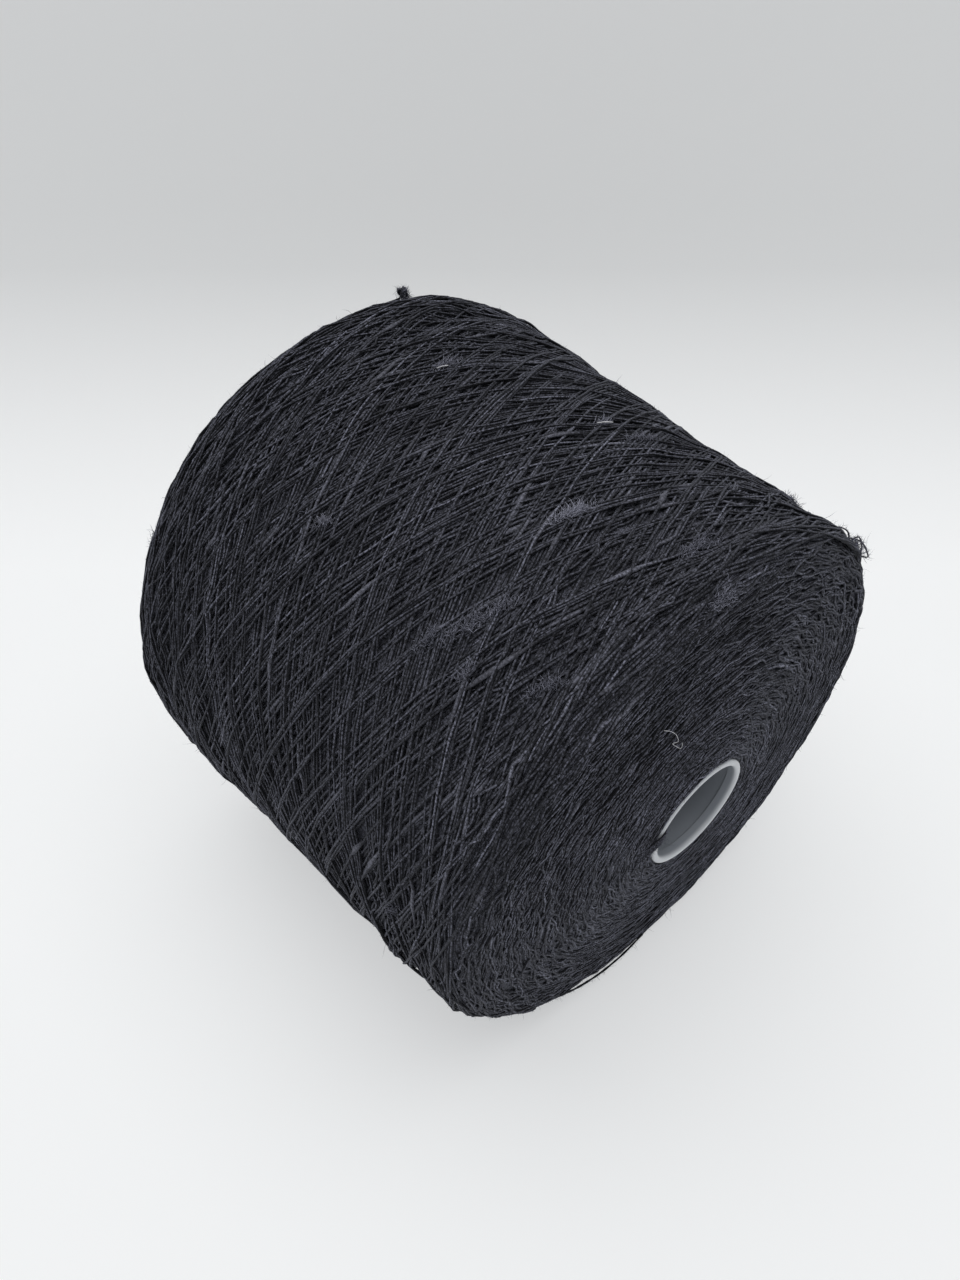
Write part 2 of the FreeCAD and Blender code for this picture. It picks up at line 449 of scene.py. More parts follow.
def arc_places(rng, skin, yarn):
    """Places of the turning arcs that cover both faces, closer together near the tube."""
    margin = 3.0
    spacing = 0.05
    shown_length = 34.0
    places = np.arange(0.4, skin.length - 0.3, spacing)
    places = places[(places < skin.cone_start + margin) | (places > skin.cone_end - margin)]
    radii = skin.read(skin.points, places)[:, 1]
    area = float(np.sum(2 * math.pi * radii * spacing))
    count = int(yarn.face_cover * area / (2 * yarn.half_width * shown_length))
    weight = radii * np.where((places > 238.0) | (places < 30.0), 1.5, 1.0)
    share = np.cumsum(weight) / weight.sum()
    return np.interp((np.arange(count) + rng.uniform(0, 1, count)) / count, share, places)


GOLDEN_ANGLE = math.pi * (3 - math.sqrt(5))
BUNDLE = 4
BUNDLE_PITCH = 2.9 / MEAN_RADIUS
EDGE_ZONE = 26.0


def wind(yarn):
    """Lays every strand of the package in order, and returns them with the finished pile."""
    rng = np.random.default_rng(yarn.seed)
    skin = Skin()
    pile = Pile(skin)
    places = arc_places(rng, skin, yarn)
    arcs, fillers, loops, edge_arcs = [], [], [], []
    for index in rng.permutation(len(places)):
        angle = GOLDEN_ANGLE * index + rng.normal(0, 0.05)
        arcs.append(turning_arc(rng, skin, places[index], angle, yarn))
    for index in rng.permutation(yarn.filling):
        start = math.pi * (index + rng.uniform(-0.4, 0.4)) / yarn.filling
        fillers.append(crossing_loop(rng, skin, start, yarn))
    bundles = math.ceil(yarn.loops / BUNDLE)
    for turn in range(BUNDLE):
        for index in rng.permutation(bundles):
            start = math.pi * (index + rng.normal(0, 0.06)) / bundles
            side = turn * BUNDLE_PITCH * rng.uniform(0.75, 1.45)
            loops.append(crossing_loop(rng, skin, start + side, yarn))
    for index in range(yarn.edge_arcs):
        into = rng.uniform(0, 1) ** 1.1 * EDGE_ZONE
        place = (skin.cone_end - into, skin.cone_start + into)[index % 2]
        edge_arcs.append(turning_arc(rng, skin, place, GOLDEN_ANGLE * index, yarn))
    outer = loops + edge_arcs
    strands = arcs + fillers + [outer[index] for index in rng.permutation(len(outer))]
    for strand in strands:
        strand.thicken(rng, yarn, yarn.slub_spacing)
        strand.lay(pile)
    return skin, pile, strands, rng


# Yarn as a mesh.


LOWEST = 0.00008


def to_frame(points):
    """Points of the cone's own axes, in mm, as points of the frame, in metres, on the floor."""
    placed = points * MM @ FRAME_TURN.T + FRAME_SHIFT
    placed[:, 2] = np.maximum(placed[:, 2], LOWEST)
    return placed


SIDES = 5


class Sweeper:
    """Collects swept strands and hands them over as mesh pieces of a limited size."""

    def __init__(self, limit=18000):
        self.limit = limit
        self.batches = [[]]
        self.rings = 0

    def add(self, centres, normals, half_width, half_height, slub, tone):
        count = len(centres)
        if self.rings + count > self.limit:
            self.batches.append([])
            self.rings = 0
        self.rings += count
        self.batches[-1].append((centres, normals, half_width, half_height, slub, tone))

    def meshes(self, name):
        return [build_tubes(f"{name}_{i:02d}", batch) for i, batch in enumerate(self.batches, 1)]


def unit(vectors):
    """The same vectors, each of length one."""
    return vectors / np.maximum(np.linalg.norm(vectors, axis=-1, keepdims=True), 1e-9)


def new_mesh(name, vertices, faces, slub, tone):
    """Smooth mesh in the frame with each point's share of slub and its tone."""
    mesh = bpy.data.meshes.new(name)
    mesh.from_pydata(to_frame(vertices), [], faces)
    for key, values in (("slub", slub), ("tone", tone)):
        attribute = mesh.attributes.new(key, "FLOAT", "POINT")
        attribute.data.foreach_set("value", values.astype(np.float32))
    mesh.polygons.foreach_set("use_smooth", np.ones(len(mesh.polygons), bool))
    return mesh


def build_tubes(name, batch):
    """One mesh of closed strands, with a map along and around them.

    Around a strand the map runs from 0 at its top, through 0.5 underneath, to 1 at its top.
    """
    turns = (np.arange(SIDES) / SIDES + 0.25) * 2 * math.pi
    side = np.arange(SIDES)[None, :]
    beside = (side + 1) % SIDES
    vertices, faces, maps, slubs, tones = [], [], [], [], []
    offset = 0
    for centres, normals, half_width, half_height, slub, tone in batch:
        count = len(centres)
        tangents = unit(np.gradient(centres, axis=0))
        across = unit(np.cross(normals, tangents))
        up = np.cross(tangents, across)
        rings = (
            centres[:, None, :]
            + np.cos(turns)[None, :, None] * across[:, None, :] * half_width[:, None, None]
            + np.sin(turns)[None, :, None] * up[:, None, :] * half_height[:, None, None]
        )
        vertices.append(rings.reshape(-1, 3))
        run = np.r_[0, np.cumsum(np.linalg.norm(np.diff(centres, axis=0), axis=1))]
        row = np.arange(count - 1)[:, None] * SIDES
        corners = (row + side, row + beside, row + SIDES + beside, row + SIDES + side)
        quads = np.stack(corners, axis=-1).reshape(-1, 4)
        faces.extend((quads + offset).tolist())
        shape = (count - 1, SIDES)
        here = np.broadcast_to(run[:-1, None], shape)
        there = np.broadcast_to(run[1:, None], shape)
        low = np.broadcast_to(side / SIDES, shape)
        high = low + 1 / SIDES
        pairs = np.stack([here, low, here, high, there, high, there, low], axis=-1)
        maps.append(pairs.reshape(-1))
        faces.append((offset + np.arange(SIDES)[::-1]).tolist())
        faces.append((offset + (count - 1) * SIDES + np.arange(SIDES)).tolist())
        maps.append(np.tile((run[0], 0.5), SIDES))
        maps.append(np.tile((run[-1], 0.5), SIDES))
        slubs.append(np.repeat(slub, SIDES))
        tones.append(np.full(count * SIDES, tone))
        offset += count * SIDES
    vertices = np.concatenate(vertices)
    mesh = new_mesh(name, vertices, faces, np.concatenate(slubs), np.concatenate(tones))
    layer = mesh.uv_layers.new(name="strand")
    layer.data.foreach_set("uv", np.concatenate(maps).astype(np.float32))
    return mesh


def build_fibres(name, paths, outs, radius, slub, tone):
    """One mesh of thin closed fibres, each with a pointed end."""
    count, joints = len(paths), paths.shape[1] - 1
    turns = np.arange(3) / 3 * 2 * math.pi
    rings = []
    for index in range(joints):
        taper = 1.0 - 0.2 * index
        tangents = unit(paths[:, index + 1] - paths[:, index])
        across = unit(np.cross(outs + 0.01, tangents))
        up = np.cross(tangents, across)
        spread = (radius * taper)[:, None, None]
        circle = np.cos(turns)[None, :, None] * across[:, None, :]
        circle = circle + np.sin(turns)[None, :, None] * up[:, None, :]
        rings.append(paths[:, index, None, :] + circle * spread)
    vertices = np.concatenate([*rings, paths[:, -1:]], axis=1)
    corners = 3 * joints + 1
    pattern = [(2, 1, 0)]
    for ring in range(0, corners - 4, 3):
        for k in range(3):
            beside = (k + 1) % 3
            pattern.append((ring + k, ring + beside, ring + 3 + beside, ring + 3 + k))
    last = corners - 4
    pattern += [(last + k, last + (k + 1) % 3, corners - 1) for k in range(3)]
    faces = []
    for index in range(count):
        faces.extend([tuple(index * corners + corner for corner in face) for face in pattern])
    return new_mesh(
        name, vertices.reshape(-1, 3), faces, np.repeat(slub, corners), np.repeat(tone, corners)
    )


def fibre_paths(rng, starts, ways, outs, length, turned, lift, curl, joints):
    """Points of each fibre, which leaves its start at an angle to the strand there."""
    side = np.cross(ways, outs)
    angle = rng.normal(0, turned, len(starts))[:, None]
    heading = unit(ways * np.cos(angle) + side * np.sin(angle) + outs * lift[:, None])
    points = [starts]
    for _ in range(joints):
        heading = unit(heading + rng.normal(0, curl, heading.shape))
        points.append(points[-1] + heading * (length / joints)[:, None])
    return np.stack(points, axis=1)


def stretches(shown):
    """First and last index of each unbroken run of shown points."""
    edges = np.flatnonzero(np.diff(np.r_[0, shown.astype(int), 0]))
    return [(a, b) for a, b in zip(edges[::2], edges[1::2]) if b - a >= 4]


def sweep_strands(name, skin, pile, strands):
    """Meshes of the stretches of these strands that show, and the points along them."""
    sweeper = Sweeper()
    points = []
    for strand in strands:
        spots, normals = skin.spots(strand.place, strand.angle, strand.height)
        ways = unit(np.gradient(spots, axis=0))
        for first, last in stretches(strand.seen(pile)):
            step = 4 if strand.closed else 2
            keep = np.unique(np.r_[np.arange(first, last, step), last - 1])
            to_end = np.minimum(keep - first, last - 1 - keep)
            taper = np.clip(0.3 + to_end / 3.0, 0.0, 1.0)
            half_height = strand.half_height[keep] * taper
            sweeper.add(
                spots[keep] - normals[keep] * (0.25 * (1 - taper))[:, None],
                normals[keep],
                strand.half_width[keep] * taper,
                half_height,
                strand.slub[keep],
                strand.tone,
            )
            tops = spots[keep] + normals[keep] * half_height[:, None] * 0.6
            points.append(np.c_[tops, ways[keep], normals[keep], strand.slub[keep]])
    return sweeper.meshes(name), np.concatenate(points)


def curve_through(points, step):
    """Smooth line through a few points, with a point every step."""
    points = np.array(points, float)
    ends = np.concatenate([2 * points[:1] - points[1:2], points, 2 * points[-1:] - points[-2:-1]])
    share = np.linspace(0, 1, 12, endpoint=False)[:, None]
    line = []
    for p0, p1, p2, p3 in zip(ends, ends[1:], ends[2:], ends[3:]):
        bend = 2 * p0 - 5 * p1 + 4 * p2 - p3
        twist = -p0 + 3 * p1 - 3 * p2 + p3
        line.append(p1 + 0.5 * ((p2 - p0) * share + bend * share ** 2 + twist * share ** 3))
    line = np.concatenate([*line, points[-1:]])
    length = np.r_[0, np.cumsum(np.linalg.norm(np.diff(line, axis=0), axis=1))]
    places = np.linspace(0, length[-1], max(3, int(length[-1] / step)))
    return np.stack([np.interp(places, length, line[:, k]) for k in range(3)], axis=1)


# Materials.


def new_material(name):
    """Empty material and its node tree, with a shader joined to the output."""
    material = bpy.data.materials.new(name)
    material.use_nodes = True
    tree = material.node_tree
    tree.nodes.clear()
    shader = tree.nodes.new("ShaderNodeBsdfPrincipled")
    output = tree.nodes.new("ShaderNodeOutputMaterial")
    tree.links.new(shader.outputs["BSDF"], output.inputs["Surface"])
    return material, tree, shader


def node(tree, kind, inputs=None, **settings):
    """New node with its settings and its inputs, each a value or another node's socket."""
    made = tree.nodes.new(kind)
    for key, value in settings.items():
        setattr(made, key, value)
    for key, value in (inputs or {}).items():
        if isinstance(value, bpy.types.NodeSocket):
            tree.links.new(value, made.inputs[key])
        else:
            made.inputs[key].default_value = value
    return made


def noise(tree, coordinates, scale, detail):
    """Strength of a noise pattern at each point."""
    inputs = {"Vector": coordinates, "Scale": scale, "Detail": detail}
    return node(tree, "ShaderNodeTexNoise", inputs).outputs["Fac"]


def stretched(tree, value, source=(0.0, 1.0), target=(0.0, 1.0)):
    """Value taken from one range to another, and kept within it."""
    inputs = {"Value": value, "From Min": source[0], "From Max": source[1]}
    inputs.update({"To Min": target[0], "To Max": target[1]})
    return node(tree, "ShaderNodeMapRange", inputs).outputs["Result"]


def maths(tree, operation, *values, clamp=False):
    """Result of a sum on numbers and other nodes' values."""
    inputs = dict(enumerate(values))
    return node(tree, "ShaderNodeMath", inputs, operation=operation, use_clamp=clamp).outputs[0]


def blend(tree, share, low, high):
    """Colour part way between two others."""
    inputs = {0: share, 6: low, 7: high}
    return node(tree, "ShaderNodeMix", inputs, data_type="RGBA", blend_type="MIX").outputs[2]


def attribute(tree, name):
    """Value that the mesh carries by this name."""
    return node(tree, "ShaderNodeAttribute", attribute_name=name).outputs["Fac"]


def times(colour, factor):
    """The same colour, darker or paler."""
    return [min(1.0, channel * factor) for channel in colour[:3]] + [1.0]


def set_surface(tree, shader, colour, values, height, strength, distance):
    """Joins a colour to the shader and sets its values and its fine relief."""
    tree.links.new(colour, shader.inputs["Base Color"])
    for key, value in values.items():
        shader.inputs[key].default_value = value
    relief = {"Height": height, "Strength": strength, "Distance": distance}
    bump = node(tree, "ShaderNodeBump", relief)
    tree.links.new(bump.outputs["Normal"], shader.inputs["Normal"])


PLY_PITCH = 1.5


def yarn_material(name, yarn, follows_strand):
    """Matt hairy yarn: speckled charcoal with paler slubs and, on a strand, a painted highlight
    along its top and painted shade down its sides.
    """
    material, tree, shader = new_material(name)
    coordinates = node(tree, "ShaderNodeTexCoord").outputs["Object"]
    broad = noise(tree, coordinates, 70.0, 3.0)
    fine = noise(tree, coordinates, 1700.0, 1.5)
    speckle = stretched(tree, fine, (0.40, 0.62), (0.12, 1.0))
    patches = stretched(tree, broad, (0.3, 0.7), (0.70, 1.0))
    light = maths(tree, "MULTIPLY", speckle, patches)
    light = maths(tree, "MULTIPLY", light, attribute(tree, "tone"))
    height = fine
    if follows_strand:
        strand = node(tree, "ShaderNodeUVMap", uv_map="strand").outputs["UV"]
        along, around = node(tree, "ShaderNodeSeparateXYZ", {0: strand}).outputs[0:2]
        from_under = maths(tree, "ABSOLUTE", maths(tree, "SUBTRACT", around, 0.5))
        # Painted light and shade: each strand is made light along its top and dark down its sides
        # and underneath, by where round it a point lies.
        painted_ridge_light = stretched(tree, from_under, (0.31, 0.49), (0.05, 1.0))
        light = maths(tree, "MULTIPLY", light, painted_ridge_light)
        turns = maths(tree, "ADD", maths(tree, "MULTIPLY", along, 1 / PLY_PITCH), around)
        wave = maths(tree, "SINE", maths(tree, "MULTIPLY", turns, 4 * math.pi))
        height = maths(tree, "ADD", maths(tree, "MULTIPLY", wave, 0.3), height)
    ground = blend(tree, light, times(yarn.colour, 0.10), times(yarn.colour, 9.0))
    mottle = stretched(tree, speckle, target=(0.45, 1.0))
    slub = maths(tree, "MULTIPLY", attribute(tree, "slub"), mottle, clamp=True)
    colour = blend(tree, slub, ground, list(yarn.slub_colour))
    values = {
        "Roughness": 0.85, "Specular IOR Level": 0.25, "Sheen Weight": 0.12,
        "Sheen Roughness": 0.5, "Sheen Tint": (0.62, 0.65, 0.78, 1.0),
    }
    set_surface(tree, shader, colour, values, height, 0.6, 0.12 * MM)
    return material


def tube_material(tube):
    """Satin moulded plastic with faint flow marks and scuffs, and a highlight painted on the lip's
    end.
    """
    material, tree, shader = new_material("moulded_plastic")
    coordinates = node(tree, "ShaderNodeTexCoord").outputs["Object"]
    cloud = noise(tree, coordinates, 90.0, 4.0)
    grain = noise(tree, coordinates, 2600.0, 2.0)
    body = blend(tree, cloud, times(tube.colour, 0.90), times(tube.colour, 1.10))
    nose_way = CONE.to_3x3() @ Vector((1, 0, 0))
    end = (CONE @ Vector((TUBE_LENGTH * MM, 0, 0))).dot(nose_way)
    inputs = {0: coordinates, 1: nose_way}
    along = node(tree, "ShaderNodeVectorMath", inputs, operation="DOT_PRODUCT").outputs["Value"]
    # Painted highlight: the last 1.5 mm of the lip blends to the paler highlight colour.
    painted_lip_highlight = stretched(tree, along, (end - 1.5 * MM, end - 0.1 * MM))
    colour = blend(tree, painted_lip_highlight, body, list(tube.lip_highlight_colour))
    tree.links.new(stretched(tree, cloud, target=(0.30, 0.48)), shader.inputs["Roughness"])
    set_surface(tree, shader, colour, {"IOR": 1.5}, grain, 0.18, 0.06 * MM)
    return material


def pale_material():
    """Undyed fibre."""
    material, tree, shader = new_material("pale_fibre")
    coordinates = node(tree, "ShaderNodeTexCoord").outputs["Object"]
    spots = noise(tree, coordinates, 900.0, 2.0)
    colour = blend(tree, spots, (0.34, 0.34, 0.36, 1.0), (0.80, 0.80, 0.82, 1.0))
    tree.links.new(colour, shader.inputs["Base Color"])
    shader.inputs["Roughness"].default_value = 0.7
    return material


def floor_material(stage):
    """Pale matt floor with a light of its own, strongest where it lies flat, clear from behind."""
    material, tree, shader = new_material("pale_floor")
    coordinates = node(tree, "ShaderNodeTexCoord").outputs["Object"]
    cloud = noise(tree, coordinates, 6.0, 4.0)
    colour = blend(tree, cloud, times(stage.floor_colour, 0.985), list(stage.floor_colour))
    tree.links.new(colour, shader.inputs["Base Color"])
    shader.inputs["Roughness"].default_value = 0.6
    shader.inputs["Specular IOR Level"].default_value = 0.2
    shader.inputs["Emission Color"].default_value = (0.98, 0.99, 1.0, 1.0)
    height = node(tree, "ShaderNodeSeparateXYZ", {0: coordinates}).outputs["Z"]
    glow = stretched(tree, height, (0.0, 0.10), (stage.glow, 0.6 * stage.glow))
    tree.links.new(glow, shader.inputs["Emission Strength"])
    from_behind = node(tree, "ShaderNodeNewGeometry").outputs["Backfacing"]
    either = node(tree, "ShaderNodeMixShader", {0: from_behind})
    tree.links.new(shader.outputs["BSDF"], either.inputs[1])
    clear = node(tree, "ShaderNodeBsdfTransparent")
    tree.links.new(clear.outputs["BSDF"], either.inputs[2])
    output = next(made for made in tree.nodes if made.bl_idname == "ShaderNodeOutputMaterial")
    tree.links.new(either.outputs[0], output.inputs["Surface"])
    return material


# Shared modelling steps.


def deselect_all():
    for item in bpy.context.selected_objects:
        item.select_set(False)


def select_only(piece):
    deselect_all()
    piece.select_set(True)
    bpy.context.view_layer.objects.active = piece


def apply_placing():
    bpy.ops.object.transform_apply(location=True, rotation=True, scale=True)


SMOOTH_ANGLE = math.radians(40)


def turned_shell(name, rings, sides):
    """Closed shell turned about the tube from (along, radius) corners, in mm, in the frame.

    A circle is added at the first corner, pulled along and scaled to each of the next, and its
    last loop is joined to its first.
    """
    deselect_all()
    along, radius = rings[0]
    bpy.ops.mesh.primitive_circle_add(
        vertices=sides, radius=radius * MM, fill_type="NOTHING",
        location=(along * MM, 0, 0), rotation=(0, math.pi / 2, 0),
    )
    shell = bpy.context.object
    shell.name = name
    apply_placing()
    bpy.ops.object.mode_set(mode="EDIT")
    bpy.ops.mesh.select_all(action="SELECT")
    for next_along, next_radius in rings[1:]:
        step = (next_along - along) * MM
        bpy.ops.mesh.extrude_region_move(TRANSFORM_OT_translate={"value": (step, 0, 0)})
        growth = next_radius / radius
        bpy.ops.transform.resize(
            value=(1, growth, growth), center_override=(next_along * MM, 0, 0)
        )
        along, radius = next_along, next_radius
    bpy.ops.object.mode_set(mode="OBJECT")
    first = set(range(sides))
    last = set(range(len(shell.data.vertices) - sides, len(shell.data.vertices)))
    for edge in shell.data.edges:
        ends = set(edge.vertices)
        edge.select = ends <= first or ends <= last
    bpy.ops.object.mode_set(mode="EDIT")
    bpy.ops.mesh.select_mode(type="EDGE")
    bpy.ops.mesh.bridge_edge_loops()
    bpy.ops.mesh.select_all(action="SELECT")
    bpy.ops.mesh.normals_make_consistent(inside=False)
    bpy.ops.object.mode_set(mode="OBJECT")
    shell.matrix_world = CONE
    apply_placing()
    bpy.ops.object.shade_smooth_by_angle(angle=SMOOTH_ANGLE)
    return shell


def finish_piece(piece, material, replaced=()):
    """Gives a piece its material and slot, and fixes it to the object."""
    piece.data.materials.clear()
    piece.data.materials.append(material)
    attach(piece, "root")
    if replaced:
        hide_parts(*replaced)


def link(mesh):
    """Object for a finished mesh, in the scene."""
    piece = bpy.data.objects.new(mesh.name, mesh)
    bpy.context.scene.collection.objects.link(piece)
    return piece


def corner_arc(centre, size, first, last, steps):
    """Points (along, radius) of a round corner, between two angles in degrees."""
    angles = np.radians(np.linspace(first, last, steps))
    return [(centre[0] + size * math.cos(a), centre[1] + size * math.sin(a)) for a in angles]


# One operator for each piece or group of like pieces. What one of them winds or mixes and a
# later one needs is kept here by name.

wound = {}


VIEW_RIGHT = Vector((0.6626, 0.7490, 0.0)).normalized()
VIEW_AHEAD = Vector((-0.5498, 0.4864, -0.6791)).normalized()
VIEW_FROM_NOSE = Vector((0.0863, -0.1530, 0.2155))
FLOOR_FRONT = -1.2
FLOOR_WIDTH = 3.2
SWEEP_START = 0.372
SWEEP_RADIUS = 0.13
SWEEP_STEPS = 16
WALL_TOP = 0.75
SOFTBOX_PLACE = Vector((0.0, -0.08, 1.25))
SOFTBOX_SIDE = 1.5
SOFTBOX_AIM = Vector((0, 0, 0.08))


def add_camera(stage):
    """Camera above the nose end, looking down on the cone as it lies."""
    bpy.ops.object.camera_add()
    camera = bpy.context.object
    camera.name = "camera"
    up = VIEW_RIGHT.cross(VIEW_AHEAD)
    turn = Matrix((VIEW_RIGHT, up, -VIEW_AHEAD)).transposed().to_4x4()
    place = CONE @ Vector((NOSE_FACE * MM, 0, 0)) + VIEW_FROM_NOSE
    camera.matrix_world = Matrix.Translation(place) @ turn
    camera.data.sensor_width = 36.0
    camera.data.lens = stage.lens
    camera.data.clip_start = 0.01
    bpy.context.scene.camera = camera
    return place


def add_floor(stage, below_camera):
    """Plane whose far edge is swept up into a wall behind the cone."""
    back_way = Vector((VIEW_AHEAD.x, VIEW_AHEAD.y, 0)).normalized()
    deselect_all()
    bpy.ops.mesh.primitive_plane_add(
        size=1.0, location=below_camera, rotation=(0, 0, math.atan2(back_way.y, back_way.x))
    )
    floor = bpy.context.object
    floor.name = "floor"
    bpy.ops.object.transform_apply(location=False, rotation=True, scale=True)
    bpy.ops.object.transform_apply(location=True, rotation=False, scale=False)
    bpy.ops.object.mode_set(mode="EDIT")
    bpy.ops.mesh.select_all(action="SELECT")
    bpy.ops.transform.resize(value=(FLOOR_WIDTH, FLOOR_WIDTH, 1), center_override=below_camera)
    bpy.ops.mesh.select_all(action="DESELECT")
    bpy.ops.object.mode_set(mode="OBJECT")
    for vertex in floor.data.vertices:
        along = (vertex.co - below_camera).dot(back_way)
        vertex.co += back_way * ((SWEEP_START if along > 0 else FLOOR_FRONT) - along)
    far = [(vertex.co - below_camera).dot(back_way) > 0 for vertex in floor.data.vertices]
    for edge in floor.data.edges:
        edge.select = all(far[index] for index in edge.vertices)
    bpy.ops.object.mode_set(mode="EDIT")
    bpy.ops.mesh.select_mode(type="EDGE")
    bend = math.pi / 2 / SWEEP_STEPS
    stride = 2 * SWEEP_RADIUS * math.sin(bend / 2)
    for index in range(SWEEP_STEPS):
        slope = bend * (index + 0.5)
        move = back_way * (stride * math.cos(slope)) + Vector((0, 0, stride * math.sin(slope)))
        bpy.ops.mesh.extrude_region_move(TRANSFORM_OT_translate={"value": move})
    bpy.ops.mesh.extrude_region_move(
        TRANSFORM_OT_translate={"value": (0, 0, WALL_TOP - SWEEP_RADIUS)}
    )
    bpy.ops.mesh.select_all(action="SELECT")
    bpy.ops.mesh.normals_make_consistent(inside=False)
    bpy.ops.object.mode_set(mode="OBJECT")
    if floor.data.polygons[0].normal.z < 0:
        bpy.ops.object.mode_set(mode="EDIT")
        bpy.ops.mesh.flip_normals()
        bpy.ops.object.mode_set(mode="OBJECT")
    bpy.ops.object.shade_smooth()
    floor.data.materials.append(floor_material(stage))


def add_light(stage):
    """Even fill from all round and one large soft light overhead."""
    world = bpy.data.worlds.new("soft_fill")
    world.use_nodes = True
    sky = world.node_tree.nodes["Background"]
    sky.inputs["Color"].default_value = (0.94, 0.97, 1.0, 1.0)
    sky.inputs["Strength"].default_value = stage.sky
    bpy.context.scene.world = world
    bpy.ops.object.light_add(type="AREA", location=SOFTBOX_PLACE)
    softbox = bpy.context.object
    softbox.name = "softbox"
    softbox.data.shape = "RECTANGLE"
    softbox.data.size = SOFTBOX_SIDE
    softbox.data.size_y = SOFTBOX_SIDE
    softbox.data.energy = stage.softbox
    aim = SOFTBOX_AIM - softbox.location
    softbox.rotation_euler = aim.to_track_quat("-Z", "Y").to_euler()


class YARNCONE_OT_stage(bpy.types.Operator):
    """Adds the camera, the pale floor with its upswept back and the soft light."""

    bl_idname = "yarncone.stage"
    bl_label = "Stage"

    def execute(self, context):
        stage = context.scene.yarn_stage
        place = add_camera(stage)
        add_floor(stage, Vector((place.x, place.y, 0)))
        add_light(stage)
        context.scene.view_settings.view_transform = "Standard"
        context.scene.view_settings.look = "None"
        return {"FINISHED"}


def cut_slit(tube):
    """Cuts the slit that holds the yarn's end from the base end of the tube."""
    beyond = 2.0
    deselect_all()
    bpy.ops.mesh.primitive_cube_add(
        size=1.0,
        location=Vector(((SLIT_LENGTH - beyond) / 2, 0, tube_radius(0))) * MM,
        scale=((SLIT_LENGTH + beyond) * MM, SLIT_WIDTH * MM, 12.0 * MM),
    )
    cutter = bpy.context.object
    apply_placing()
    cutter.matrix_world = CONE
    apply_placing()
    select_only(tube)
    cut = tube.modifiers.new("slit", "BOOLEAN")
    cut.operation = "DIFFERENCE"
    cut.object = cutter
    bpy.ops.object.modifier_apply(modifier=cut.name)
    select_only(cutter)
    bpy.ops.object.delete()
    select_only(tube)
    bpy.ops.object.shade_smooth_by_angle(angle=SMOOTH_ANGLE)


class YARNCONE_OT_cone_tube(bpy.types.Operator):
    """Turns the moulded tube: a tapered wall, a thick round lip at the nose and a base ring."""

    bl_idname = "yarncone.cone_tube"
    bl_label = "Cone Tube"

    def execute(self, context):
        tube = context.scene.yarn_tube
        lip_outer = NOSE_BORE_RADIUS + LIP_WALL
        lip_middle = TUBE_LENGTH - LIP_ROUND
        wall_end = TUBE_LENGTH - LIP_LENGTH
        wall_inner = tube_radius(wall_end) - TUBE_WALL
        ring_outer = tube_radius(BASE_RING_LENGTH)
        edge = 0.4
        step = 0.12
        rings = [(along, tube_radius(along)) for along in (edge, 20.0, 150.0)]
        rings += corner_arc((lip_middle, lip_outer - LIP_ROUND), LIP_ROUND, 90, 0, 9)
        rings += corner_arc((lip_middle, NOSE_BORE_RADIUS + LIP_ROUND), LIP_ROUND, 0, -90, 9)
        rings += [
            (wall_end + step, NOSE_BORE_RADIUS),
            (wall_end, NOSE_BORE_RADIUS + step),
            (wall_end, wall_inner - step),
            (wall_end - step, wall_inner),
            (150.0, tube_radius(150.0) - TUBE_WALL),
            (BASE_RING_LENGTH, ring_outer - TUBE_WALL),
            (BASE_RING_LENGTH - 0.3, ring_outer - BASE_RING_WALL),
            (edge, tube_radius(0) - BASE_RING_WALL),
            (0.0, tube_radius(0) - BASE_RING_WALL + edge),
            (0.0, tube_radius(0) - edge),
        ]
        piece = turned_shell("moulded_cone_tube", rings, tube.sides)
        cut_slit(piece)
        finish_piece(piece, tube_material(tube), ["cone_tube"])
        return {"FINISHED"}


def follow_lumps(core, places, outs, sides):
    """Moves each ring of the core with the lumps and hollows there, and keeps it off the floor."""
    to_cone = CONE.inverted()
    for index, vertex in enumerate(core.data.vertices):
        ring = index // sides
        if ring >= len(places):
            return
        spot = to_cone @ vertex.co
        angle = math.degrees(math.atan2(spot.y, spot.z))
        rise = float(lump_rise(places[ring], angle)) * MM
        out = outs[ring]
        way = Vector((0, spot.y, spot.z)).normalized() * out[1] + Vector((out[0], 0, 0))
        vertex.co = CONE @ (spot + way * rise)
        vertex.co.z = max(vertex.co.z, 0.3 * MM)


class YARNCONE_OT_yarn_core(bpy.types.Operator):
    """Turns the closed body of yarn under the strands that show."""

    bl_idname = "yarncone.yarn_core"
    bl_label = "Yarn Core"

    def execute(self, context):
        yarn = context.scene.yarn_yarn
        wound["skin"], wound["pile"], wound["strands"], wound["rng"] = wind(yarn)
        skin = wound["skin"]
        places = np.arange(len(skin.points)) * skin.STEP
        around = (np.arange(Pile.TURNS)[None, :] + 0.5) * 360.0 / Pile.TURNS
        flattened = wound["pile"].height - lump_rise(places[:, None], around)
        level = smooth(np.percentile(flattened, 5, axis=1), 4, False) - 0.15
        inner = skin.points + skin.outs * level[:, None]
        gap = 0.15
        every = 8
        keep = np.flatnonzero(inner[:, 1] > tube_radius(inner[:, 0]) + gap)[::every]
        rings = [tuple(point) for point in inner[keep]]
        for along in (rings[-1][0], rings[0][0]):
            rings.append((along, tube_radius(along) + 0.02))
        sides = 120
        piece = turned_shell("yarn_core", rings, sides)
        follow_lumps(piece, places[keep], skin.outs[keep], sides)
        shade = piece.data.attributes.new("tone", "FLOAT", "POINT")
        shade.data.foreach_set("value", np.full(len(piece.data.vertices), 0.5))
        wound["fibre_material"] = yarn_material("slub_yarn_fibre", yarn, False)
        finish_piece(piece, wound["fibre_material"], ["yarn_package"])
        return {"FINISHED"}


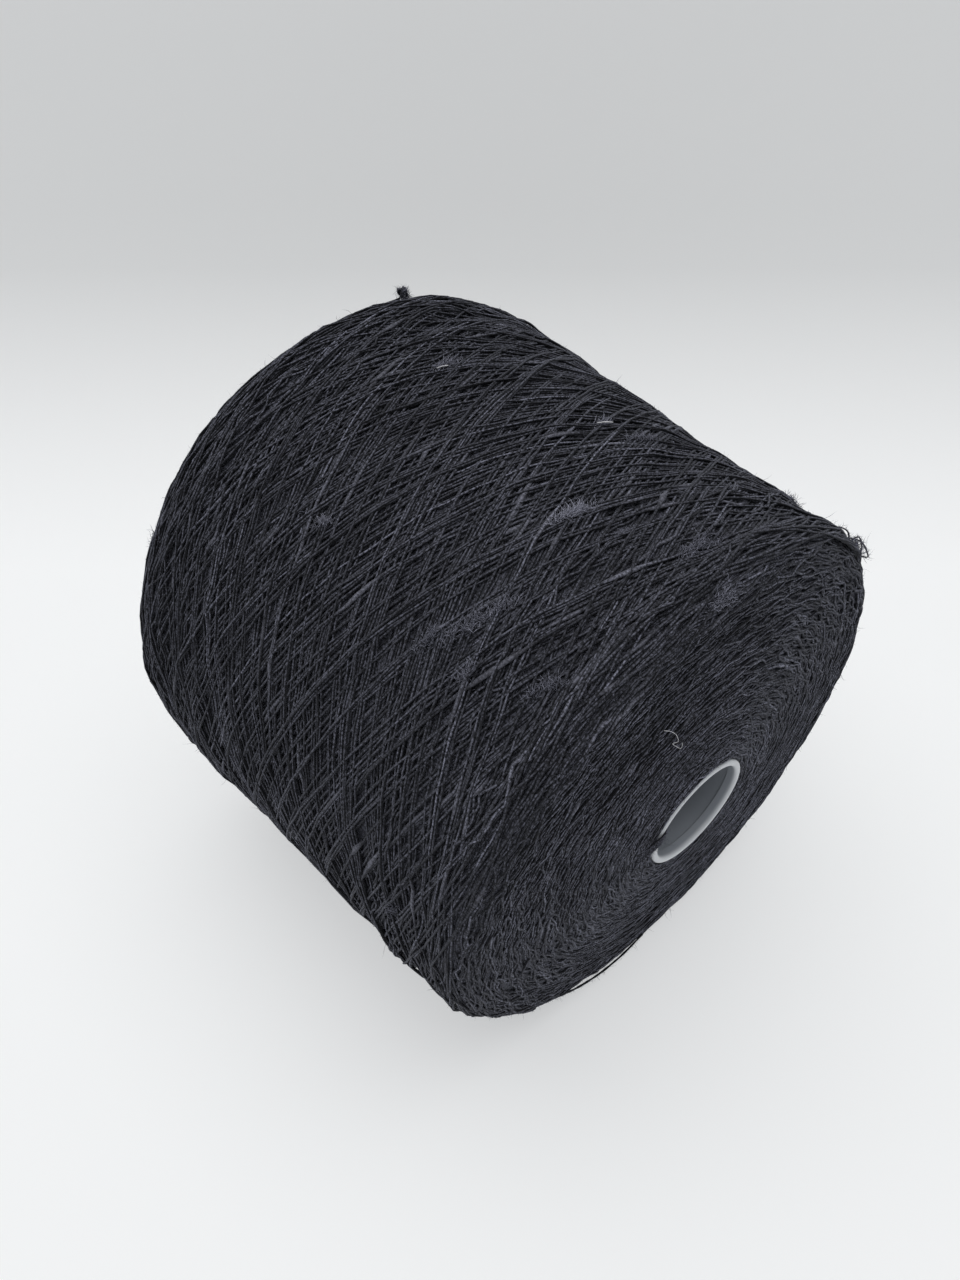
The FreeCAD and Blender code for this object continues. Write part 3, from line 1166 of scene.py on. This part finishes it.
class YARNCONE_OT_windings(bpy.types.Operator):
    """Sweeps the crossing passes and the turning arcs, each strand on those below it."""

    bl_idname = "yarncone.windings"
    bl_label = "Windings"

    def execute(self, context):
        yarn = context.scene.yarn_yarn
        wound["strand_material"] = yarn_material("slub_yarn_strand", yarn, True)
        meshes, wound["points"] = sweep_strands(
            "winding", wound["skin"], wound["pile"], wound["strands"]
        )
        for mesh in meshes:
            finish_piece(link(mesh), wound["strand_material"])
        return {"FINISHED"}


class YARNCONE_OT_transfer_tail(bpy.types.Operator):
    """Winds the first turns of yarn on the bare base of the tube, from the slit."""

    bl_idname = "yarncone.transfer_tail"
    bl_label = "Transfer Tail"

    def execute(self, context):
        yarn = context.scene.yarn_yarn
        rng = wound["rng"]
        layers = ((7.9, 12.1, 8, 0.30), (11.8, 8.4, 6, 0.78))
        last_angle, path = 0.0, []
        for first, last, turns, height in layers:
            angle = last_angle + np.arange(0, turns * 360.0, 4.0)
            along = np.linspace(first, last, len(angle))
            along += 0.12 * np.sin(np.radians(angle * 0.37)) + rng.normal(0, 0.02, len(angle))
            path += list(zip(along, angle, tube_radius(along) + height))
            last_angle = angle[-1]
        path = np.array(path)
        start = np.array(((1.0, 3.5, tube_radius(1.0) - 1.6), (3.6, 1.0, tube_radius(3.6) + 0.2)))
        steps = np.linspace(0, 1, 24)[1:]
        lead = np.c_[
            path[-1, 0] + (BASE_FACE + 1.5 - path[-1, 0]) * steps ** 1.5,
            last_angle + 140.0 * steps,
            path[-1, 2] + 1.2 * steps ** 0.4,
        ]
        path = np.concatenate([start, path, lead])
        turn = np.radians(path[:, 1])
        spots = np.c_[path[:, 0], path[:, 2] * np.sin(turn), path[:, 2] * np.cos(turn)]
        outs = np.c_[np.zeros(len(turn)), np.sin(turn), np.cos(turn)]
        count = len(path)
        run = np.arange(count) * 2.0
        uneven = 1 + wander(rng, run, ((0.10, 9.0), (0.10, 23.0)))
        sweeper = Sweeper()
        sweeper.add(
            spots, outs, yarn.half_width * uneven, yarn.half_height * uneven, np.zeros(count), 0.8
        )
        mesh = sweeper.meshes("tail_turns")[0]
        finish_piece(link(mesh), wound["strand_material"], ["transfer_tail"])
        return {"FINISHED"}


# Tufts of loose fibre from burst slubs: place and angle of the middle, length along the yarn,
# width, slope from the way round the cone in degrees, number of fibres and how pale it is.

TUFTS = (
    (163.0, 348.4, 8.5, 1.6, 18.0, 150, 1.7),
    (165.0, 325.2, 13.0, 2.0, 22.0, 130, 0.8),
    (168.0, 329.6, 11.0, 1.8, 22.0, 90, 0.7),
    (171.5, 318.8, 6.0, 2.4, 20.0, 70, 0.6),
    (202.5, 354.4, 8.0, 3.0, 5.0, 110, 0.6),
    (100.5, 358.4, 7.0, 2.0, 5.0, 100, 1.0),
    (142.0, 10.0, 5.0, 0.9, 20.0, 40, 1.4),
    (188.5, 324.8, 9.0, 2.2, 30.0, 80, 0.55),
    (159.0, 319.6, 6.0, 2.2, 15.0, 60, 0.5),
    (115.5, 322.8, 3.5, 1.6, 30.0, 45, 1.1),
    (151.5, 13.6, 12.0, 2.2, 14.0, 90, 0.6),
    (188.5, 359.2, 12.0, 3.0, 0.0, 110, 0.5),
    (64.5, 300.0, 4.0, 2.0, 10.0, 45, 0.5),
    (180.5, 273.6, 5.0, 2.0, 20.0, 60, 0.35),
    (181.5, 37.6, 9.0, 2.2, 12.0, 90, 0.4),
    (199.0, 46.0, 6.0, 3.0, 0.0, 120, 0.3),
    (63.0, 8.4, 3.0, 1.6, 0.0, 60, 0.3),
)


def top_of_pile(place, angle):
    """Point of the cone's own axes on top of the yarn, the way round there, and outwards."""
    skin, pile = wound["skin"], wound["pile"]
    height = pile.height[pile.cells(place, angle)]
    spots, outs = skin.spots(place, angle, height)
    ways = np.c_[np.zeros(len(angle)), np.cos(angle), -np.sin(angle)]
    return spots, ways, outs


class YARNCONE_OT_tufts(bpy.types.Operator):
    """Adds the burst slubs, whose fibres lie matted over the strands."""

    bl_idname = "yarncone.tufts"
    bl_label = "Tufts"

    def execute(self, context):
        rng = wound["rng"]
        skin = wound["skin"]
        paths, outs, slubs = [], [], []
        for place, angle, length, width, slope, fibres, pale in TUFTS:
            count = int(fibres * 1.5)
            radius = skin.read(skin.points, np.array([place]))[0, 1]
            along = rng.normal(0, 0.30, count) * length
            aside = rng.normal(0, 0.30, count) * width
            tilt = math.radians(slope)
            over = along * math.cos(tilt) - aside * math.sin(tilt)
            up = along * math.sin(tilt) + aside * math.cos(tilt)
            spots, ways, normals = top_of_pile(place + up, np.radians(angle) + over / radius)
            sides = np.cross(normals, ways)
            ways = ways * math.cos(tilt) + sides * math.sin(tilt)
            spots = spots + normals * rng.uniform(-0.05, 0.55, count)[:, None]
            fibre = rng.uniform(1.2, 3.8, count)
            lift = rng.uniform(-0.05, 0.4, count)
            paths.append(fibre_paths(rng, spots, ways, normals, fibre, 0.42, lift, 0.45, 3))
            outs.append(normals)
            slubs.append(pale * rng.uniform(0.35, 1.0, count))
        paths, outs, slubs = (np.concatenate(items) for items in (paths, outs, slubs))
        radius = rng.uniform(0.045, 0.115, len(paths))
        mesh = build_fibres("tufts", paths, outs, radius, slubs, np.full(len(paths), 0.9))
        finish_piece(link(mesh), wound["fibre_material"])
        return {"FINISHED"}


class YARNCONE_OT_fuzz(bpy.types.Operator):
    """Adds the short fibres that stand off every strand and mat each slub."""

    bl_idname = "yarncone.fuzz"
    bl_label = "Fuzz"

    def execute(self, context):
        yarn = context.scene.yarn_yarn
        rng = wound["rng"]
        points = wound["points"]
        slub = points[:, 9]
        kinds = (
            ("fuzz_curved", yarn.hairs, 2, 0.7, 0.60),
            ("fuzz_short_1", 2 * yarn.hairs, 1, 0.35, 0.32),
            ("fuzz_short_2", 2 * yarn.hairs, 1, 0.35, 0.32),
        )
        chance = 0.6 + 3.0 * slub + 0.4 * (np.abs(points[:, 6]) > 0.8)
        chance /= chance.sum()
        for name, count, joints, shortest, spread in kinds:
            chosen = rng.choice(len(points), count, p=chance)
            spots, ways, outs = points[chosen, 0:3], points[chosen, 3:6], points[chosen, 6:9]
            length = shortest + rng.gamma(2.0, spread, count)
            lift = rng.gamma(1.6, 0.32, count)
            ways = ways * rng.choice((-1.0, 1.0), count)[:, None]
            paths = fibre_paths(rng, spots, ways, outs, length, 0.8, lift, 0.45, joints)
            radius = rng.uniform(0.026, 0.060, count)
            tone = rng.lognormal(-0.25, 0.4, count)
            mesh = build_fibres(name, paths, outs, radius, slub[chosen], tone)
            finish_piece(link(mesh), wound["fibre_material"])
        return {"FINISHED"}


def over_skin(places, angles, heights):
    """Points above the skin, from places, angles in degrees and heights."""
    places, heights = np.array(places, float), np.array(heights, float)
    return wound["skin"].spots(places, np.radians(angles), heights)[0]


def add_strand(sweeper, points, thickness, slub, tone):
    """Sweeps one loose strand through a few points, and marks a thick one as hairy."""
    step, hairiness, share = 0.5, 8, 0.25
    line = curve_through(points, step)
    count = len(line)
    uneven = 1 + wander(wound["rng"], np.arange(count) * step, ((0.10, 4.0), (0.10, 9.0)))
    outs = unit(line - line.mean(axis=0) + np.array((0.3, 0.2, 0.1)))
    sweeper.add(line, outs, thickness * uneven, thickness * uneven, np.full(count, slub), tone)
    if thickness > 0.2:
        ways = unit(np.gradient(line, axis=0))
        hairy = np.c_[line + outs * thickness * 0.6, ways, outs, np.full(count, share)]
        wound["points"] = np.concatenate([wound["points"], np.repeat(hairy, hairiness, axis=0)])


def dark_ends():
    """The knot and its neck, the frayed ends at the corner, the slack strand and the lip's end."""
    sweeper = Sweeper()
    knot = over_skin([63.0], [8.4], [2.3])[0]
    steps = np.linspace(0, 1, 30)
    ball = np.c_[np.sin(steps * 19.0), np.cos(steps * 25.0 + 0.4), np.sin(steps * 31.0 + 1.1)]
    add_strand(sweeper, knot + 1.05 * ball, 0.40, 0.0, 0.6)
    neck = over_skin([60.0, 61.8, 63.0, 63.4], [5.0, 7.4, 8.2, 8.4], [0.2, 0.5, 1.2, 2.2])
    add_strand(sweeper, neck, 0.33, 0.0, 0.6)
    frayed = (
        ([196.0, 199.0, 202.0, 201.0], [44.5, 45.4, 46.2, 47.8], [1.0, 2.6, 2.4, 0.8]),
        ([203.0, 200.0, 198.0, 196.5], [43.6, 44.8, 45.0, 46.6], [0.6, 2.0, 3.0, 1.2]),
        ([193.0, 194.5, 196.0, 197.0], [40.5, 41.8, 43.0, 44.4], [0.6, 2.0, 2.2, 1.0]),
    )
    for places, angles, heights in frayed:
        add_strand(sweeper, over_skin(places, angles, heights), 0.21, 0.1, 0.7)
    slack = over_skin(
        [208.5, 207.5, 207.0, 206.8, 207.0, 208.0],
        [180.0, 185.0, 190.0, 197.0, 205.0, 213.0],
        [0.0, 0.4, 0.7, 0.8, 0.45, 0.0],
    )
    add_strand(sweeper, slack, 0.34, 0.0, 0.6)
    lip = TUBE_LENGTH
    for shift, reach in ((0.0, 0.0), (2.6, 0.6), (5.4, 0.3), (8.0, 0.8), (10.8, 0.2)):
        path = (
            (lip - 1.0, 24.5, 264.0), (lip - 0.1, 20.6, 270.0), (lip + 0.32, 18.6, 275.0),
            (lip + 0.38, 17.0, 278.5), (lip - 0.5, 15.7 - 0.2 * reach, 281.0),
            (lip - 2.4 - reach, 15.5, 282.0),
        )
        points = []
        for along, radius, angle in path:
            turn = math.radians(angle + shift)
            points.append((along, radius * math.sin(turn), radius * math.cos(turn)))
        add_strand(sweeper, points, 0.33, 0.0, 0.5)
    return sweeper


def pale_ends():
    """A curled fibre on the nose face and four specks of undyed fibre."""
    sweeper = Sweeper()
    curl = (
        (225.0, 334.4), (227.0, 335.6), (229.5, 336.4), (232.2, 337.2), (234.6, 336.8),
        (233.6, 335.2), (236.3, 335.8), (238.8, 337.0), (237.4, 338.2),
    )
    places, angles = (np.array(values) for values in zip(*curl))
    heights = 0.7 + 0.3 * np.sin(np.arange(len(curl)) * 1.9)
    add_strand(sweeper, over_skin(places, angles, heights), 0.085, 0.9, 1.0)
    specks = (
        (195.5, 312.8, 2.0, 0.14), (142.6, 10.6, 4.6, 0.16), (163.4, 349.4, 2.6, 0.14),
        (101.0, 357.6, 3.0, 0.16),
    )
    for place, angle, length, thickness in specks:
        half = math.degrees(length / 2 / MEAN_RADIUS)
        points = over_skin(
            [place - 0.17 * length, place, place + 0.15 * length],
            [angle - half, angle, angle + half],
            [0.75, 0.95, 0.8],
        )
        add_strand(sweeper, points, thickness, 1.0, 1.0)
    return sweeper


class YARNCONE_OT_loose_ends(bpy.types.Operator):
    """Adds the knot on the top edge, the end over the lip, the slack strand and stray fibres."""

    bl_idname = "yarncone.loose_ends"
    bl_label = "Loose Ends"

    def execute(self, context):
        mesh = dark_ends().meshes("loose_strands")[0]
        finish_piece(link(mesh), wound["strand_material"])
        mesh = pale_ends().meshes("pale_fibres")[0]
        finish_piece(link(mesh), pale_material())
        return {"FINISHED"}


class YARNCONE_PT_panel(bpy.types.Panel):
    """Lists the pieces in the order they are made."""

    bl_label = "Yarn Cone"
    bl_space_type = "VIEW_3D"
    bl_region_type = "UI"
    bl_category = "Yarn Cone"

    def draw(self, context):
        for step in STEPS:
            self.layout.operator(step.bl_idname, text=step.bl_label)


STEPS = (
    YARNCONE_OT_stage,
    YARNCONE_OT_cone_tube,
    YARNCONE_OT_yarn_core,
    YARNCONE_OT_windings,
    YARNCONE_OT_transfer_tail,
    YARNCONE_OT_tufts,
    YARNCONE_OT_loose_ends,
    YARNCONE_OT_fuzz,
)
CLASSES = (YarnSettings, TubeSettings, StageSettings, *STEPS, YARNCONE_PT_panel)


def register():
    for item in CLASSES:
        bpy.utils.register_class(item)
    bpy.types.Scene.yarn_yarn = bpy.props.PointerProperty(type=YarnSettings)
    bpy.types.Scene.yarn_tube = bpy.props.PointerProperty(type=TubeSettings)
    bpy.types.Scene.yarn_stage = bpy.props.PointerProperty(type=StageSettings)


def unregister():
    del bpy.types.Scene.yarn_stage
    del bpy.types.Scene.yarn_tube
    del bpy.types.Scene.yarn_yarn
    for item in reversed(CLASSES):
        bpy.utils.unregister_class(item)


def main():
    register()
    for step in STEPS:
        group, name = step.bl_idname.split(".")
        getattr(getattr(bpy.ops, group), name)()


if __name__ == "__main__":
    main()
